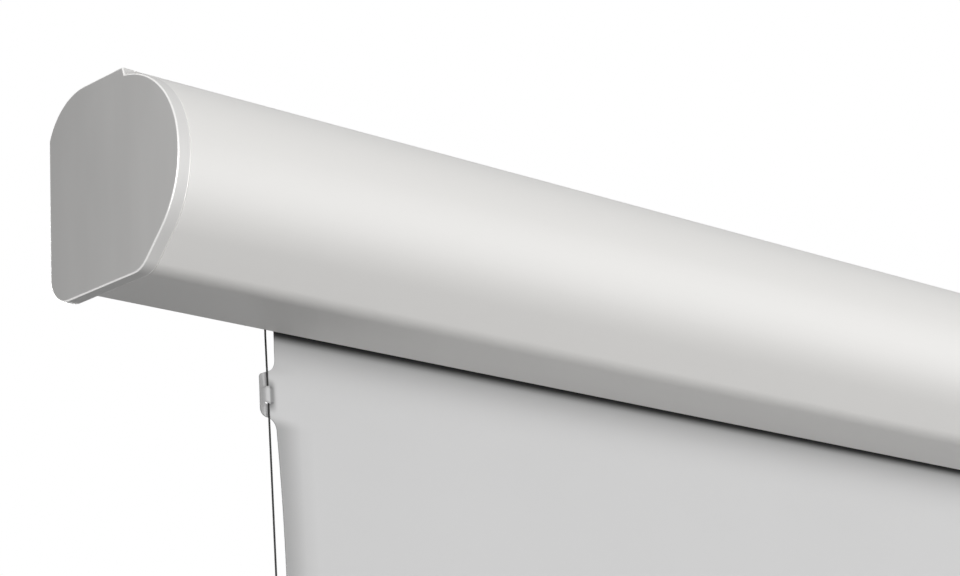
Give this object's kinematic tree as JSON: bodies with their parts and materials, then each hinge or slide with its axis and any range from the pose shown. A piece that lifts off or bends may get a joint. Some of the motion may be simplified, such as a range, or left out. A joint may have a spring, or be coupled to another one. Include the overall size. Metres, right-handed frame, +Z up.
{
  "type": "motorised projector screen",
  "caption": "Wall-hung motorised projection screen: a white case with a rounded nose, tab-tensioned matte fabric, tension cords and a weight bar.",
  "frame": {"origin": "on the wall plane at the case's mid-length, level with the brackets' screw holes", "axes": "+X along the case to its motor end, seen from the room to the right; +Y into the wall; +Z up"},
  "size_m": [2.642, 0.1464, 1.7882],
  "materials": {
    "white_paint": "satin white powder coat on aluminium",
    "cap_plastic": "satin moulded plastic, white",
    "zinc_steel": "zinc-plated sheet and screws",
    "mill_aluminium": "plain extruded",
    "screen_vinyl": "matte white projection vinyl",
    "cord_black": "braided black cord",
    "black_plastic": "moulded, fine texture",
    "grey_plastic": "moulded, grey",
    "motor_paint": "dark grey painted steel tube",
    "board_green": "circuit board",
    "gland_rubber": "black rubber"
  },
  "bodies": {
    "housing": {"case_extrusion": "white_paint", "end_cap_left": "cap_plastic", "end_cap_right": "cap_plastic", "end_plate_left": "zinc_steel", "end_plate_right": "zinc_steel", "end_screw_left_1": "zinc_steel", "end_screw_left_2": "zinc_steel", "end_screw_left_3": "zinc_steel", "end_screw_left_4": "zinc_steel", "end_screw_right_1": "zinc_steel", "end_screw_right_2": "zinc_steel", "end_screw_right_3": "zinc_steel", "end_screw_right_4": "zinc_steel", "wall_bracket_left": "zinc_steel", "wall_bracket_right": "zinc_steel", "bracket_bolt_left_1": "zinc_steel", "bracket_bolt_left_2": "zinc_steel", "bracket_bolt_right_1": "zinc_steel", "bracket_bolt_right_2": "zinc_steel", "slot_nut_left_1": "zinc_steel", "slot_nut_left_2": "zinc_steel", "slot_nut_right_1": "zinc_steel", "slot_nut_right_2": "zinc_steel", "idler_housing": "zinc_steel", "idler_bush": "grey_plastic", "motor_bracket": "zinc_steel", "motor_head": "black_plastic", "motor_tube": "motor_paint", "control_box": "black_plastic", "control_lid": "black_plastic", "control_board": "board_green", "mains_gland": "gland_rubber", "motor_lead": "gland_rubber", "screen_fabric": "screen_vinyl", "tension_cord_left": "cord_black", "tension_cord_right": "cord_black"},
    "roller": {"roller_tube": "mill_aluminium", "idler_plug": "black_plastic", "idler_pin": "zinc_steel", "fabric_roll": "screen_vinyl", "cord_spool_left": "black_plastic", "cord_spool_right": "black_plastic", "motor_crown": "black_plastic", "drive_wheel": "black_plastic", "drive_shaft": "zinc_steel"},
    "bar": {"weight_bar": "white_paint", "hem_rod": "grey_plastic", "end_block_left": "black_plastic", "end_block_right": "black_plastic"},
    "knob_left": {"tension_knob_left": "grey_plastic"},
    "knob_right": {"tension_knob_right": "grey_plastic"},
    "upper_button": {"upper_limit_button": "grey_plastic"},
    "lower_button": {"lower_limit_button": "grey_plastic"}
  },
  "joints": [
    {"name": "screen_lift", "type": "slide", "parent": "housing", "child": "bar", "axis": [0, 0, 1], "range_m": [0, 1.5965], "deforming": ["screen_fabric", "tension_cord_left", "tension_cord_right"]},
    {"name": "roller_turn", "type": "hinge", "parent": "housing", "child": "roller", "pos_m": [0, -0.065, -0.0902], "axis": [1, 0, 0], "range_deg": [0, 2408]},
    {"name": "left_knob_turn", "type": "hinge", "parent": "bar", "child": "knob_left", "pos_m": [-1.169, -0.0233, -1.7552], "axis": [1, 0, 0], "range_deg": [-360, 360]},
    {"name": "right_knob_turn", "type": "hinge", "parent": "bar", "child": "knob_right", "pos_m": [1.169, -0.0233, -1.7552], "axis": [1, 0, 0], "range_deg": [-360, 360]},
    {"name": "upper_button_press", "type": "slide", "parent": "housing", "child": "upper_button", "axis": [0, 0, 1], "range_m": [0, 0.0015], "stiffness_N_per_m": 200, "springref_m": -0.001},
    {"name": "lower_button_press", "type": "slide", "parent": "housing", "child": "lower_button", "axis": [0, 0, 1], "range_m": [0, 0.0015], "stiffness_N_per_m": 200, "springref_m": -0.001}
  ],
  "couplings": [
    {"joint": "roller_turn", "follows": "screen_lift", "rad_per_m": 26.316}
  ]
}
